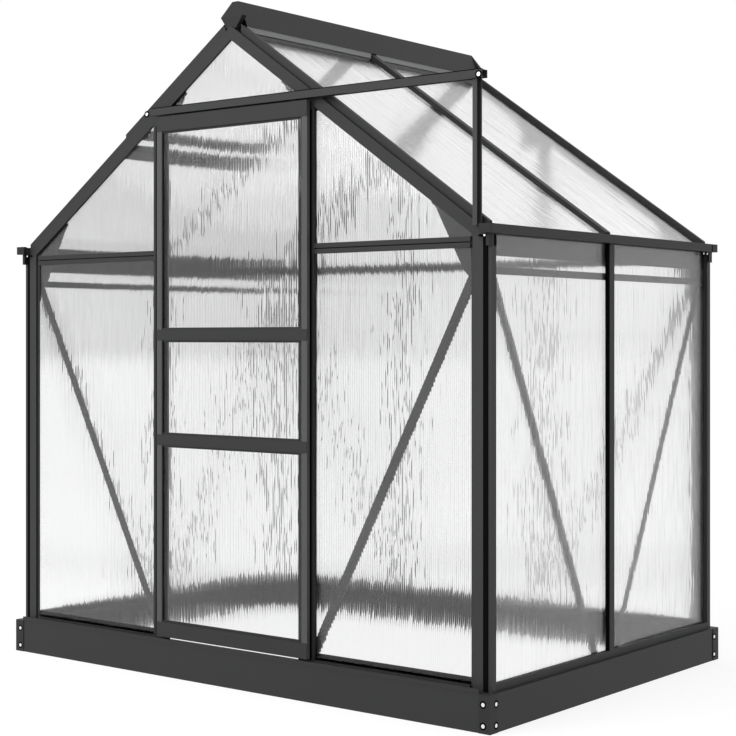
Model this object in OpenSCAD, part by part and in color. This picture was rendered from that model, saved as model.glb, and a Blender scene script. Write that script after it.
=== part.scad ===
// Small walk-in greenhouse: a gable roof kit of dark aluminium bars and
// twin-wall sheets on a folded base, with one sliding door at the front.
// Millimetres. X runs along the front gable, the door gable faces -Y, Z is up.
// The origin is the middle of the base's underside.

/* [Base] */
// Width over the base corner plates
base_w = 1900; // [1700:10:2200]
// Depth over the base corner plates
base_d = 1312; // [1200:2:1600]
// Height of the base rails
base_h = 103; // [80:1:140]
// Sheet thickness of the base rails
base_t = 2; // [2:0.5:4]
// Width of the flange on top of the base rails
base_top_flange = 62; // [60:1:80]
// Width of the flange under the base rails
base_foot_flange = 32; // [20:1:50]
// Thickness of the angle plates on the base corners
plate_t = 2; // [1.5:0.5:3]
// How far each corner plate wraps round the corner
plate_leg = 37; // [30:1:50]

/* [Frame] */
// How far the frame's side faces stand in from the base's outer faces
side_inset = 14; // [12:1:24]
// How far its gable faces stand in from the base's outer faces
gable_inset = 26; // [26:1:32]
// Height of the eaves, where the gutter beam sits on the posts
eave_z = 1315; // [1200:1:1450]
// Roof pitch in degrees
pitch = 35; // [33:0.5:37]
// How far the roof bars pass over the eaves, at the side faces
roof_lift = 24.4; // [23:0.2:27]
// Wall of the extruded bars
bar_t = 2; // [1.5:0.25:2]
// Start of a corner post's gable leg, from its side face
post_leg_start = 26; // [24:1:30]
// Start of a gable rafter's gable leg, from its top face
rafter_leg_start = 21; // [20:1:23]
// Width of a corner post's gable leg
post_leg_w = 31; // [28:1:36]
// Width of a gable rafter's gable leg
leg_w = 34; // [30:1:38]
// Width of the set-back lip beside a corner post's leg
lip_w = 10; // [6:1:12]
// Set-back and width of the outer rib on a corner post
post_rib = [4, 20];
// The same on a gable rafter
rafter_rib = [12, 14];
// Width of the ribbed bars between two sheets
rib_w = 26; // [22:1:32]
// Depth from a side or roof face to the outer face of its sheet
rib_set = 12; // [11:0.5:13]
// The same on the gables
gable_set = 8; // [7:0.5:8]
// Height of the tie bars across the gables
tie_h = 30; // [28:1:36]
// How far the tie bars' undersides lie under the eaves
tie_drop = 36; // [30:1:44]
// Width of the groove along the middle of each tie bar
tie_groove = 3; // [2:0.5:4]
// Width of the posts in the back gable
back_post_w = 44; // [36:1:52]
// Width of the diagonal braces
brace_w = 26; // [20:1:28]

/* [Sheets] */
// Thickness of the twin-wall sheets
sheet_t = 4; // [3.5:0.5:4]
// Room left between a sheet's edge and the bottom of its groove
sheet_play = 1; // [1:0.5:2]
// Room between a roof sheet and each face of its grooves
seat_play = 0.05; // [0.05:0.01:0.1]
// How deep a sheet's edge groove reaches behind its lip
groove_in = 6; // [5:0.5:7]

/* [Gutter] */
// How far the gutter stands out over the side faces
gutter_over = 12; // [8:1:13]
// Width of the gutter
gutter_w = 35; // [33:1:38]
// Height of the gutter's outer wall
gutter_h = 25; // [22:1:28]
// Height of its inner wall, under the rafters
gutter_inner_h = 10; // [6:1:11]
// Depth of the beam's web that hangs inside the side sheets
beam_drop = 57; // [50:1:66]
// Height of the spouts under the gutter's ends
spout_h = 33; // [26:1:40]
// How far the rails inside the side sheets lie under the eaves
rail_drop = 107; // [96:1:120]

/* [Door] */
// Width of the sliding door
door_w = 608; // [594:1:624]
// Closed position of the door's middle, from the centre line
door_x = 13; // [8:1:16]
// Gap under and over the door
door_play = 5; // [5:0.5:6]
// Thickness of the door frame behind its cover strips
door_t = 12; // [12:0.5:13]
// Thickness of the cover strips on the door rails
cover_t = 1.5; // [1:0.5:2]
// Gap between the door and the frame faces behind it
door_gap = 8.5; // [7:0.5:9]
// Width of the door stiles' front strips
stile_face = 21; // [18:1:26]
// Full width of the door stiles
stile_w = 40; // [34:1:46]
// Height of the door's bottom rail
rail_h = 51; // [44:1:58]
// Height of the door's top rail
top_rail_h = 52; // [46:1:60]
// Height of the door's two middle rails
mid_rail_h = 45; // [38:1:52]
// Undersides of the two middle rails over the door's underside
mid_rail_rise = [582, 904];
// Width of the set-back lip along the door bars' sheet edges
door_lip = 6; // [5:0.5:7]
// How far the door posts' outer faces stand out from the half width of the door
door_post_over = 22; // [18:1:28]
// Width of the door posts
door_post_w = 58; // [54:1:62]
// Width of the strip and of the slot in a door post's face
door_post_slot = [9, 10];

/* [Track] */
// How far the door header's underside lies under the rafters, at the door posts
header_drop = 6; // [4:1:20]
// How far the door track's underside lies over the header's underside
track_lap = 30; // [26:1:34]
// Height of the door track
track_h = 21; // [20:1:24]
// How far the track stands out from the gable
track_d = 26; // [26:0.5:26]
// Width of the runner lip inside the track
runner_w = 5; // [4.5:0.5:5]
// Radius of the door rollers
roller_r = 5.5; // [5:0.5:6]
// Running gap under the rollers
roller_gap = 0.3; // [0.3:0.05:0.4]
// Section of the post that holds the track's free end
prop_w = 19; // [16:1:22]
// Depth of that post
prop_d = 17; // [14:1:20]

/* [Ridge] */
// Height of the ridge bar's top over the rafters' crossing line
ridge_rise = 50; // [46:1:54]
// Height of its widest line over that line
ridge_shoulder = 3; // [1:0.5:5]
// Depth of its underside under that line
ridge_drop = 33; // [32:0.5:34]
// Half width of the ridge bar's top, widest line and underside
ridge_half = [12, 44, 17];
// Height of the beam under the ridge bar
ridge_beam_h = 30; // [24:1:36]
// How far its right and left wings reach out from the centre line
wing_x = [50, 42];
// Fall of the wings for each millimetre outwards
wing_slope = 2.1; // [1.9:0.05:2.15]
// Thickness of the moulded ends of the ridge bar
ridge_end_t = 18; // [16:1:18]
// How far the upper half of those ends leans back
ridge_end_lean = 16; // [10:1:16]
// Gap between the centre line and the ribs of the gable rafters
rib_cut = 32; // [30:1:40]

/* [Roof vent] */
// Distance from the centre line to the bar under the vent's foot
vent_foot_x = 485; // [440:5:560]
// Width of the vent's frame bars
vent_bar_w = 30; // [24:1:36]
// Distance from the centre line to the vent's upper edge, under the shorter wing
vent_top_x = 38; // [36:1:40]
// Height of the vent frame over the roof bars
vent_h = 9; // [7:0.5:9.5]
// How far the bar under the vent's foot reaches up and down the slope from there
purlin_w = [24, 8];
// Depth of that bar
purlin_d = 18; // [14:1:24]

/* [Hidden] */
$fn = 24;
hw = base_w / 2;
hd = base_d / 2;
fx = hw - side_inset;                 // frame's side plane
fy = hd - gable_inset;                // frame's gable plane
roof_k = (eave_z + roof_lift) * cos(pitch) + fx * sin(pitch);   // roof face, square to it
apex_z = roof_k / cos(pitch);         // where the two roof faces cross
rib_back = rib_set + sheet_t;         // back of a side or roof sheet
gable_back = gable_set + sheet_t;     // back of a gable sheet
post_end = post_leg_start + post_leg_w;
lip_end = post_end + lip_w;
rafter_end = rafter_leg_start + leg_w;
sill_z = base_h + 13;
sill_lip = 3;
sill_lip_x = hw - plate_leg + 1;
tie_z = eave_z - tie_drop;
gutter_out = fx + gutter_over;
gutter_in = gutter_out - gutter_w;
gutter_t = 2;
gutter_front = fy + 12;               // open ends of the gutter
gutter_rear = fy - 17;
gutter_tip = fy + 24;                 // outer faces of its end pieces
beam_in = fx - 31;
rib_end_x = gutter_in + 9;            // rafters' lower ends, over the gutter
gable_in = fy - gable_back - bar_t;   // inner face of the gable bars
side_in = fx - rib_back - bar_t;      // inner face of the side bars
door_post_x = door_w / 2 + door_post_over;
header_z = on_z(roof_k - rafter_end, door_post_x) - header_drop;
track_z = header_z + track_lap;
track_x = [door_post_slot[0] - door_post_x, fx - 12];
prop_x = fx - 48;
door_z0 = sill_z + door_play;
door_z1 = track_z - door_play;
door_back = -(fy + door_gap);
door_front = door_back - door_t;      // front of the stiles
door_l = door_x - door_w / 2;
door_r = door_x + door_w / 2;
mid_rail_z = [door_z0 + mid_rail_rise[0], door_z0 + mid_rail_rise[1]];
ridge_top_z = apex_z + ridge_rise;
ridge_shoulder_z = apex_z + ridge_shoulder;
ridge_foot_z = apex_z - ridge_drop;
ridge_end_y = fy - 4;
far = 3000;
// Piece to show

function in_x(k, z) = (k - z * cos(pitch)) / sin(pitch);
function on_z(k, x) = (k - x * sin(pitch)) / cos(pitch);

// ---- Sections -------------------------------------------------------------
// Every bar is a list of walls [a0, a1, b0, b1]. In corner bars a runs in from
// the side or roof face and b from the gable face.

// Closed rib along the outer corner, with the groove for the side or roof sheet
function rib_walls(r) = [[0, bar_t, r[0], r[0] + r[1]],
  [0, rib_set, r[0], r[0] + bar_t],
  [0, rib_set, r[0] + r[1] - bar_t, r[0] + r[1]],
  [rib_set - bar_t, rib_set, r[0], r[0] + r[1]],
  [rib_back, rib_back + bar_t, gable_back, r[0] + r[1]]];

// Gable leg from a to b, with the groove for the gable sheet
function leg_walls(a, b) = [[a, b, 0, bar_t],
  [a, a + bar_t, 0, gable_back + bar_t],
  [b - bar_t, b, 0, gable_set],
  [b - groove_in - bar_t, b - groove_in, 0, gable_back + bar_t],
  [a, b - groove_in + 2, gable_back, gable_back + bar_t]];

// Set-back lip beside a corner post's leg
lip_walls = [[post_end - bar_t, lip_end, gable_set - bar_t, gable_set]];

// Wall behind the open notch, that ties a post's rib to its leg
post_link = [[rib_set - bar_t, post_leg_start, gable_back, gable_back + bar_t]];

// The same in a gable rafter
rafter_link = [[rib_set - bar_t, rafter_leg_start, gable_back, gable_back + bar_t]];

// Door post, a from its outer face
door_post_walls = let (s = door_post_slot[0], e = s + door_post_slot[1])
  [[0, s, 0, bar_t], [0, bar_t, 0, gable_set],
  [groove_in, groove_in + bar_t, 0, gable_back + bar_t],
  [s - bar_t, s, 0, gable_back + bar_t],
  [0, door_post_w, gable_back, gable_back + bar_t],
  [e, e + bar_t, 0, gable_back + bar_t], [e, door_post_w, 0, bar_t],
  [door_post_w - bar_t, door_post_w, 0, gable_back + bar_t]];

// Depth from a door bar's back to the front of the lip over the sheet
door_lip_d = 2 * bar_t + sheet_t;

// Door stile: closed front strip and a wide flange behind the sheet's edge
door_stile_walls = [[0, stile_face, 0, bar_t], [0, bar_t, 0, door_t],
  [stile_face - bar_t, stile_face, 0, door_t], [0, stile_w, door_t - bar_t, door_t]];

// Door end rail of depth d, a from its outer edge, b in from its front
function door_bar(w, d) = [[0, w - door_lip, 0, bar_t], [0, bar_t, 0, d],
  [w - door_lip - bar_t, w - door_lip, 0, d],
  [w - door_lip - bar_t, w, d - door_lip_d, d - door_lip_d + bar_t],
  [0, w, d - bar_t, d]];

// Door rail with a sheet on both sides
function door_mid_bar(w, d) = [[door_lip, w - door_lip, 0, bar_t],
  [door_lip, door_lip + bar_t, 0, d], [w - door_lip - bar_t, w - door_lip, 0, d],
  [0, door_lip + bar_t, d - door_lip_d, d - door_lip_d + bar_t],
  [w - door_lip - bar_t, w, d - door_lip_d, d - door_lip_d + bar_t],
  [0, w, d - bar_t, d]];

module section(walls) {
  for (w = walls)
    translate([w[0], w[2]]) square([w[1] - w[0], w[3] - w[2]]);
}

// Ribbed bar between two sheets: face outwards at 0, middle at u = 0
module rib_section() {
  h = rib_w / 2;
  section([[-h, h, 0, bar_t], [-h, bar_t - h, 0, rib_set], [h - bar_t, h, 0, rib_set],
    [-h, h, rib_set - bar_t, rib_set], [-1.5, 1.5, rib_set - bar_t, rib_back + bar_t],
    [-h, h, rib_back, rib_back + bar_t]]);
}

// Flat bar between two gable sheets, with an open groove g wide along its face
module flat_section(w, g) {
  h = w / 2;
  q = h - groove_in;
  section([[-h, -g / 2, 0, bar_t], [g / 2, h, 0, bar_t],
    [-h, bar_t - h, 0, gable_set], [h - bar_t, h, 0, gable_set],
    [-q, bar_t - q, 0, gable_back + bar_t], [q - bar_t, q, 0, gable_back + bar_t],
    [-h, h, gable_back, gable_back + bar_t]]);
}

// Folded base rail: u runs in from the outer face, v up
module base_section() {
  difference() {
    square([base_top_flange, base_h]);
    translate([base_t, base_t]) square([base_top_flange, base_h - 2 * base_t]);
    translate([base_foot_flange, -1]) square([base_top_flange, base_t + 2]);
  }
}

// Sill: hollow box outside the sheet, groove under it, lip inside it
module sill_section(box) {
  difference() {
    square([box + sheet_t + bar_t, 21]);
    translate([bar_t, bar_t]) square([box - 2 * bar_t, 21 - 2 * bar_t]);
    translate([box, 8]) square([sheet_t, 21]);
  }
}

// ---- Placement ------------------------------------------------------------

module both_sides() {
  children();
  mirror([1, 0, 0]) children();
}

module both_ends() {
  children();
  mirror([0, 1, 0]) children();
}

// Local x runs down the right-hand slope, local z is square to it
module on_slope() {
  rotate([0, pitch, 0]) children();
}

// Everything above the right-hand slope plane k
module above_slope(k) {
  on_slope() translate([-far, -far, k]) cube([2 * far, 2 * far, far]);
}

// Keeps what lies between two distances from the centre line
module between_x(x0, x1) {
  intersection() {
    children();
    translate([x0, -far, 0]) cube([x1 - x0, 2 * far, far]);
  }
}

// ---- Base -----------------------------------------------------------------

// Rails are mitred at the corners
module mitre(half_len, half_gap, w) {
  translate([0, 0, -1]) linear_extrude(base_h + 2)
    polygon([[-half_len, -half_gap], [half_len, -half_gap],
      [half_len - w, w - half_gap], [w - half_len, w - half_gap]]);
}

module base_rail(half_len, half_gap) {
  intersection() {
    translate([-half_len, -half_gap, 0])
      rotate([90, 0, 90]) linear_extrude(2 * half_len) base_section();
    mitre(half_len, half_gap, base_top_flange);
  }
}

module base_long_rail() {
  base_rail(hw - plate_t, hd - plate_t);
}

module base_front_rail() {
  color("#3b3d3f") base_long_rail();
}

module base_back_rail() {
  color("#3b3d3f") mirror([0, 1, 0]) base_long_rail();
}

module base_side_rails() {
  color("#3b3d3f") both_sides() rotate([0, 0, 90])
    base_rail(hd - plate_t, hw - plate_t);
}

module base_corner_plates() {
  color("#333536") both_sides() both_ends() difference() {
    translate([hw - plate_leg, -hd, 0]) cube([plate_leg, plate_leg, base_h]);
    translate([hw - plate_leg - 1, -hd + plate_t, -1])
      cube([plate_leg + 1 - plate_t, plate_leg + 1, base_h + 2]);
  }
}

// ---- Sills ----------------------------------------------------------------

// Low guide channel along the whole front, and the sheet seats beside the doorway
module front_sill() {
  back = -(fy - gable_back);
  half = fx - lip_end;
  jamb = door_post_x - door_post_w;
  color("#3b3d3f") {
    translate([-sill_lip_x, -hd, base_h]) cube([2 * sill_lip_x, sill_lip, sill_z - base_h]);
    translate([-sill_lip_x, -hd, base_h]) cube([2 * sill_lip_x, gable_inset, bar_t]);
    both_sides() {
      translate([jamb, -fy - 2, base_h]) cube([half - jamb, 2, sill_z - base_h]);
      translate([jamb, -fy - 2, sill_z - 2]) cube([half - jamb, gable_back + 2, 2]);
      translate([jamb, back, base_h]) cube([half - jamb, bar_t, sill_z - base_h]);
      translate([door_post_x, back, base_h])
        cube([half - door_post_x, bar_t, sill_z - base_h + 20]);
    }
  }
}

module back_sill() {
  half = fx - lip_end;
  color("#3b3d3f") translate([-half, fy + 6, base_h]) rotate([90, 0, 90])
    mirror([1, 0, 0]) linear_extrude(2 * half) sill_section(gable_set + 6);
}

module side_sills() {
  run = fy - post_rib[0] - post_rib[1] - rib_w / 2;
  color("#3b3d3f") both_sides() both_ends()
    translate([fx, -rib_w / 2, base_h]) rotate([90, 0, 0])
      mirror([1, 0, 0]) linear_extrude(run) sill_section(rib_set);
}

// ---- Posts ----------------------------------------------------------------

// Walls of a corner post standing on the base as high as h
module post_walls(walls, h) {
  translate([fx, -fy, base_h]) mirror([1, 0, 0]) linear_extrude(h) section(walls);
}

module corner_post() {
  post_walls(concat(rib_walls(post_rib), post_link), eave_z - base_h);
  difference() {
    post_walls(concat(leg_walls(post_leg_start, post_end), lip_walls), far / 2);
    above_slope(roof_k - rafter_end);
  }
}

module corner_posts() {
  color("#3b3d3f") both_sides() both_ends() corner_post();
}

module side_posts() {
  color("#3b3d3f") both_sides()
    translate([fx, 0, base_h]) rotate([0, 0, 90])
      linear_extrude(eave_z - base_h) rib_section();
}

module door_posts() {
  color("#3b3d3f") both_sides()
    translate([door_post_x, -fy, sill_z]) mirror([1, 0, 0])
      linear_extrude(header_z - sill_z) section(door_post_walls);
}

module back_posts() {
  foot = base_h + 21;
  color("#3b3d3f") both_sides() mirror([0, 1, 0]) difference() {
    translate([door_post_x - back_post_w / 2, -fy, foot])
      linear_extrude(far) flat_section(back_post_w, 0);
    above_slope(roof_k - rafter_end);
  }
}

// ---- Gable ties and header ------------------------------------------------

module tie_bar(x0, x1) {
  translate([x0, -fy, tie_z + tie_h / 2]) rotate([90, 90, 90])
    linear_extrude(x1 - x0) flat_section(tie_h, tie_groove);
}

module front_ties() {
  color("#3b3d3f") both_sides() tie_bar(door_post_x, fx - lip_end);
}

module back_ties() {
  inner = door_post_x - back_post_w;
  color("#3b3d3f") mirror([0, 1, 0]) {
    both_sides() tie_bar(door_post_x, fx - lip_end);
    tie_bar(-inner, inner);
  }
}

module door_header() {
  z1 = track_z + track_h;
  color("#3b3d3f") both_sides() difference() {
    translate([0, -fy, header_z])
      cube([door_post_x, gable_back + bar_t, z1 - header_z]);
    translate([-1, -fy + bar_t, header_z + bar_t])
      cube([far, gable_back - bar_t, z1 - header_z - 2 * bar_t - 6]);
    above_slope(roof_k - rafter_end);
    translate([-1, -fy + gable_set, z1 - 6]) cube([far, sheet_t, far]);
    translate([door_post_x - groove_in, -fy + gable_set, 0]) cube([far, sheet_t, far]);
  }
}

// ---- Eaves ----------------------------------------------------------------

module gutter_beam() {
  // open channel
  difference() {
    translate([gutter_in, -gutter_front, eave_z])
      cube([gutter_w, gutter_front + gutter_rear, gutter_h]);
    translate([gutter_in + gutter_t, -far, eave_z + gutter_t])
      cube([gutter_w - 2 * gutter_t, 2 * far, far]);
    translate([gutter_in - 1, -far, eave_z + gutter_inner_h])
      cube([gutter_t + 2, 2 * far, far]);
  }
  // web that hangs inside the sheet and carries the rafters
  translate([beam_in, -gable_in, eave_z])
    cube([gutter_in - beam_in + gutter_t, gable_in + gutter_rear, gutter_t]);
  difference() {
    translate([beam_in, -gable_in, eave_z - beam_drop])
      cube([3, 2 * gable_in, beam_drop + 60]);
    above_slope(roof_k - rib_back - bar_t);
  }
}

module gutter_beam_right() {
  color("#3b3d3f") gutter_beam();
}

module gutter_beam_left() {
  color("#3b3d3f") mirror([1, 0, 0]) gutter_beam();
}

// Short caps in front, longer outlets at the back, a spout under each
module gutter_ends() {
  waist = 8;
  color("#333536") both_sides() {
    translate([gutter_in, -gutter_tip, eave_z])
      cube([gutter_w, gutter_tip - gutter_front, gutter_h]);
    translate([rib_end_x + 1, gutter_rear, eave_z])
      cube([gutter_out - rib_end_x - 4, waist, gutter_h - 3]);
    translate([gutter_in, gutter_rear + waist, eave_z])
      cube([gutter_w, gutter_tip - gutter_rear - waist, gutter_h]);
    both_ends() difference() {
      translate([fx - 10, -(fy + 10), eave_z - spout_h]) cube([9.5, 13, spout_h]);
      translate([fx - 8.5, -(fy + 8.5), eave_z - spout_h - 1]) cube([6.5, 10, spout_h - 3]);
    }
  }
}

module side_rails() {
  color("#3b3d3f") both_sides()
    translate([side_in - 8, -gable_in, eave_z - rail_drop])
      cube([8, 2 * gable_in, 20]);
}

// ---- Roof bars ------------------------------------------------------------

// Walls of the corner bar laid along the right-hand slope from x0 to x1
module rafter_walls(walls, x0, x1) {
  for (w = walls)
    translate([0, -fy + w[3], 0]) rotate([90, 0, 0]) linear_extrude(w[3] - w[2])
      polygon([[x0, on_z(roof_k - w[0], x0)], [x1, on_z(roof_k - w[0], x1)],
        [x1, on_z(roof_k - w[1], x1)], [x0, on_z(roof_k - w[1], x0)]]);
}

module gable_rafter() {
  rafter_walls(concat(rib_walls(rafter_rib), rafter_link), rib_cut, rib_end_x);
  rafter_walls(leg_walls(rafter_leg_start, rafter_end), 0, fx - post_leg_start);
}

module gable_rafters_right() {
  color("#3b3d3f") both_ends() gable_rafter();
}

module gable_rafters_left() {
  color("#3b3d3f") mirror([1, 0, 0]) both_ends() gable_rafter();
}

module middle_rafters() {
  color("#3b3d3f") both_sides() between_x(ridge_half[2], rib_end_x)
    on_slope() translate([-far / 2, 0, roof_k]) rotate([-90, 0, -90])
      linear_extrude(far) rib_section();
}

module ridge_beam() {
  half = ridge_half[2];
  color("#3b3d3f") difference() {
    translate([-half, -gable_in, ridge_foot_z - ridge_beam_h])
      cube([2 * half, 2 * gable_in, ridge_beam_h]);
    translate([3 - half, -far, ridge_foot_z - ridge_beam_h + 3])
      cube([2 * half - 6, 2 * far, ridge_beam_h - 6]);
  }
}

// Right half of the ridge bar's end outline
function ridge_side() = [[ridge_half[2], ridge_foot_z], [ridge_half[1], ridge_shoulder_z],
  [ridge_half[0], ridge_top_z]];

// Half of the ridge bar's top with a wing that falls to x
module wing(x, slope) {
  top = ridge_half[0];
  z = ridge_top_z - (x - top) * slope;
  polygon([[0, ridge_top_z], [top, ridge_top_z], [x, z], [x - bar_t, z],
    [top - 1, ridge_top_z - bar_t], [0, ridge_top_z - bar_t]]);
}

// Ridge bar: hollow keel between the slopes under two wings, the shorter over the vent
module ridge_cap() {
  end = ridge_end_y - ridge_end_t;
  keel = ridge_half[2];
  color("#3b3d3f") translate([0, end, 0]) rotate([90, 0, 0]) linear_extrude(2 * end) {
    wing(wing_x[0], wing_slope);
    mirror([1, 0]) wing(wing_x[1], wing_slope);
    for (x = [-keel, keel - bar_t])
      translate([x, ridge_foot_z]) square([bar_t, ridge_rise + ridge_drop - 16]);
    translate([-keel, ridge_foot_z]) square([2 * keel, bar_t]);
  }
}

// Moulded ends that sit on the gable rafters' legs, upper half leaning back
module ridge_ends() {
  s = ridge_side();
  seat = roof_k - rafter_leg_start;
  tip = in_x(seat, ridge_foot_z);
  color("#2c2e2f") both_ends() difference() {
    translate([0, ridge_end_t - ridge_end_y, 0]) rotate([90, 0, 0])
      linear_extrude(ridge_end_t)
        polygon([[0, on_z(seat, 0)], [tip, ridge_foot_z], s[0], s[1], s[2],
          [-s[2][0], s[2][1]], [-s[1][0], s[1][1]], [-s[0][0], s[0][1]],
          [-tip, ridge_foot_z]]);
    translate([-hw, 0, 0]) rotate([90, 0, 90]) linear_extrude(base_w)
      polygon([[-far, ridge_shoulder_z], [-ridge_end_y, ridge_shoulder_z],
        [ridge_end_lean - ridge_end_y, ridge_top_z],
        [ridge_end_lean - ridge_end_y, far], [-far, far]]);
  }
}

// ---- Gussets and braces ---------------------------------------------------

module eave_gusset() {
  k = roof_k - rafter_end;
  x0 = fx - 199;
  translate([0, -gable_in + 2, 0]) rotate([90, 0, 0]) linear_extrude(2)
    polygon([[x0, on_z(k, x0)], [beam_in, on_z(k, beam_in)], [beam_in, eave_z - 125],
      [fx - 68, eave_z - 125], [fx - 98, eave_z - 93]]);
}

module top_gusset() {
  k = roof_k - rafter_end;
  z1 = track_z + track_h;
  x0 = in_x(k, z1 + 46);
  translate([0, -gable_in + 2, 0]) rotate([90, 0, 0]) linear_extrude(2)
    polygon([[x0, z1 + 46], [x0 + 19, z1 + 9], [x0 + 19, header_z],
      [in_x(k, header_z), header_z]]);
}

module gussets() {
  color("#3b3d3f") both_sides() both_ends() {
    eave_gusset();
    top_gusset();
  }
}

// Angle bar from p, on the base, up to q. Its flange runs along the lower edge
module brace(p, q) {
  d = q - p;
  w = brace_w;
  difference() {
    translate([p[0], p[1], 0]) rotate([0, 0, atan2(d[1], d[0])])
      translate([-w, -w / 2, 0]) {
        cube([norm(d) + w, w, bar_t]);
        cube([norm(d) + w, bar_t, 8]);
      }
    translate([-far, p[1] - far, -1]) cube([2 * far, far, 20]);
  }
}

module gable_braces() {
  color("#45484a") both_sides() both_ends()
    translate([0, -gable_in + 2, 0]) rotate([90, 0, 0]) mirror([0, 0, 1])
      brace([door_post_x - 28, base_h], [fx - 50, eave_z - 77]);
}

module side_braces() {
  color("#45484a") both_sides() both_ends()
    translate([side_in - 8, 0, 0]) rotate([90, 0, 90]) mirror([0, 0, 1])
      mirror([1, 0, 0]) brace([rib_w / 2 + 37, base_h], [fy - 40, eave_z - 100]);
}

// ---- Door track -----------------------------------------------------------

// Open below, with a lip behind its front wall that the rollers run on
module door_track() {
  len = track_x[1] - track_x[0];
  color("#3b3d3f") translate([track_x[0], -(fy + track_d), track_z]) {
    difference() {
      cube([len, track_d, track_h]);
      translate([-1, bar_t, -1]) cube([len + 2, track_d - 2 * bar_t, track_h + 1 - bar_t]);
    }
    cube([len, bar_t + runner_w, bar_t]);
  }
}

// Channel open to the side
module track_prop() {
  z0 = eave_z + 21;
  color("#3b3d3f") translate([prop_x, -(fy + prop_d), z0]) difference() {
    cube([prop_w, prop_d, track_z - z0]);
    translate([2, 2, -1]) cube([prop_w, prop_d - 4, far]);
    translate([prop_w - 5, -1, -1]) cube([prop_w, prop_d - 1, far]);
  }
}

// ---- Sheets ---------------------------------------------------------------

// Gable sheet outline between two x, from z0 up to z1 or to the rafter
module gable_sheet(x0, x1, z0, z1) {
  k = roof_k - rafter_end + groove_in - sheet_play;
  translate([0, -fy + gable_back, 0]) rotate([90, 0, 0]) linear_extrude(sheet_t)
    intersection() {
      translate([x0, z0]) square([x1 - x0, z1 - z0]);
      polygon([[-fx, 0], [fx, 0], [fx, on_z(k, fx)], [0, on_z(k, 0)], [-fx, on_z(k, fx)]]);
    }
}

module gable_side_sheets(z0) {
  in_edge = door_post_x - groove_in + sheet_play;
  out_edge = fx - post_end + groove_in - sheet_play;
  tie_edge = groove_in - sheet_play;
  gable_sheet(in_edge, out_edge, z0, tie_z + tie_edge);
  gable_sheet(in_edge, out_edge, tie_z + tie_h - tie_edge, far);
}

module gable_sheets_front() {
  color("#e6eaec") {
    both_sides() gable_side_sheets(sill_z);
    gable_sheet(-fx, fx, track_z + track_h - 5, far);
  }
}

module gable_sheets_back() {
  inner = door_post_x - back_post_w + groove_in - sheet_play;
  tie_edge = groove_in - sheet_play;
  color("#e6eaec") mirror([0, 1, 0]) {
    both_sides() gable_side_sheets(base_h + 8);
    gable_sheet(-inner, inner, base_h + 8, tie_z + tie_edge);
    gable_sheet(-inner, inner, tie_z + tie_h - tie_edge, far);
  }
}

// Room along the depth for a side or roof sheet
sheet_y = [1.5 + sheet_play, fy - gable_back - bar_t - sheet_play];

module side_sheets() {
  color("#e6eaec") both_sides() both_ends()
    translate([fx - rib_back, -sheet_y[1], base_h + 8])
      cube([sheet_t, sheet_y[1] - sheet_y[0], eave_z - base_h - 8]);
}

module roof_sheet(x0, x1) {
  between_x(x0, x1) on_slope()
    translate([-far / 2, -sheet_y[1], roof_k - rib_back + seat_play])
      cube([far, sheet_y[1] - sheet_y[0], sheet_t - 2 * seat_play]);
}

module roof_sheets_right() {
  color("#e6eaec") both_ends() roof_sheet(ridge_half[2] + 5, rib_end_x);
}

module roof_sheets_left() {
  color("#e6eaec") mirror([1, 0, 0]) {
    mirror([0, 1, 0]) roof_sheet(ridge_half[2] + 5, rib_end_x);
    roof_sheet(vent_foot_x, rib_end_x);
  }
}

// ---- Roof vent ------------------------------------------------------------

module vent_purlin() {
  end = fy - rafter_rib[0] - rafter_rib[1];
  start = rib_w / 2;
  color("#3b3d3f") mirror([1, 0, 0])
    between_x(vent_foot_x - purlin_w[0], vent_foot_x + purlin_w[1]) on_slope()
      translate([-far / 2, -end, roof_k - rib_back - purlin_d])
        cube([far, end - start, purlin_d]);
}

module vent_plate(x0, x1, y0, y1, k0, h) {
  mirror([1, 0, 0]) between_x(x0, x1) on_slope()
    translate([-far / 2, -y1, roof_k + k0]) cube([far, y1 - y0, h]);
}

// Fixed shut: it rests on the middle rafter and on the gable rafter's rib
module vent_frame() {
  top = vent_top_x;
  foot = vent_foot_x - 21;
  end = fy - rafter_rib[0] - 1;
  b = vent_bar_w;
  color("#3b3d3f") difference() {
    vent_plate(top, foot, 0, end, seat_play, vent_h);
    vent_plate(top + b, foot - b, b, end - b, -1, vent_h + 2);
  }
}

module vent_sheet() {
  b = vent_bar_w;
  end = fy - rafter_rib[0] - 1;
  color("#e6eaec")
    vent_plate(vent_top_x + b, vent_foot_x - 21 - b, b, end - b, 2, sheet_t);
}

// ---- Door -----------------------------------------------------------------

// Rail between the stiles at height z, standing upright, its front flush with the covers
module rail_body(walls, z, up) {
  notch = stile_w - stile_face;
  difference() {
    translate([door_l + stile_face, door_front - cover_t, z])
      rotate([90, 0, 90]) linear_extrude(door_w - 2 * stile_face)
        mirror([0, up ? 0 : 1]) rotate(90) mirror([0, 1]) section(walls);
    for (x = [door_l + stile_face - 1, door_r - stile_w])
      translate([x, door_back - bar_t, 0]) cube([notch + 1, far, far]);
  }
}

// Cover strip over the stiles as wide as the door
module rail_cover(z0, z1) {
  for (x = [door_l, door_r - stile_face])
    translate([x, door_front - cover_t, z0]) cube([stile_face, cover_t, z1 - z0]);
}

module door_stile() {
  translate([door_l, door_front, door_z0])
    linear_extrude(door_z1 - door_z0) section(door_stile_walls);
}

module door_stiles() {
  color("#4a4d50") {
    door_stile();
    translate([2 * door_x, 0, 0]) mirror([1, 0, 0]) door_stile();
  }
}

module door_top_rail() {
  color("#3b3d3f") {
    rail_body(door_bar(top_rail_h, door_t + cover_t), door_z1, false);
    rail_cover(door_z1 - top_rail_h + door_lip, door_z1);
  }
}

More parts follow.
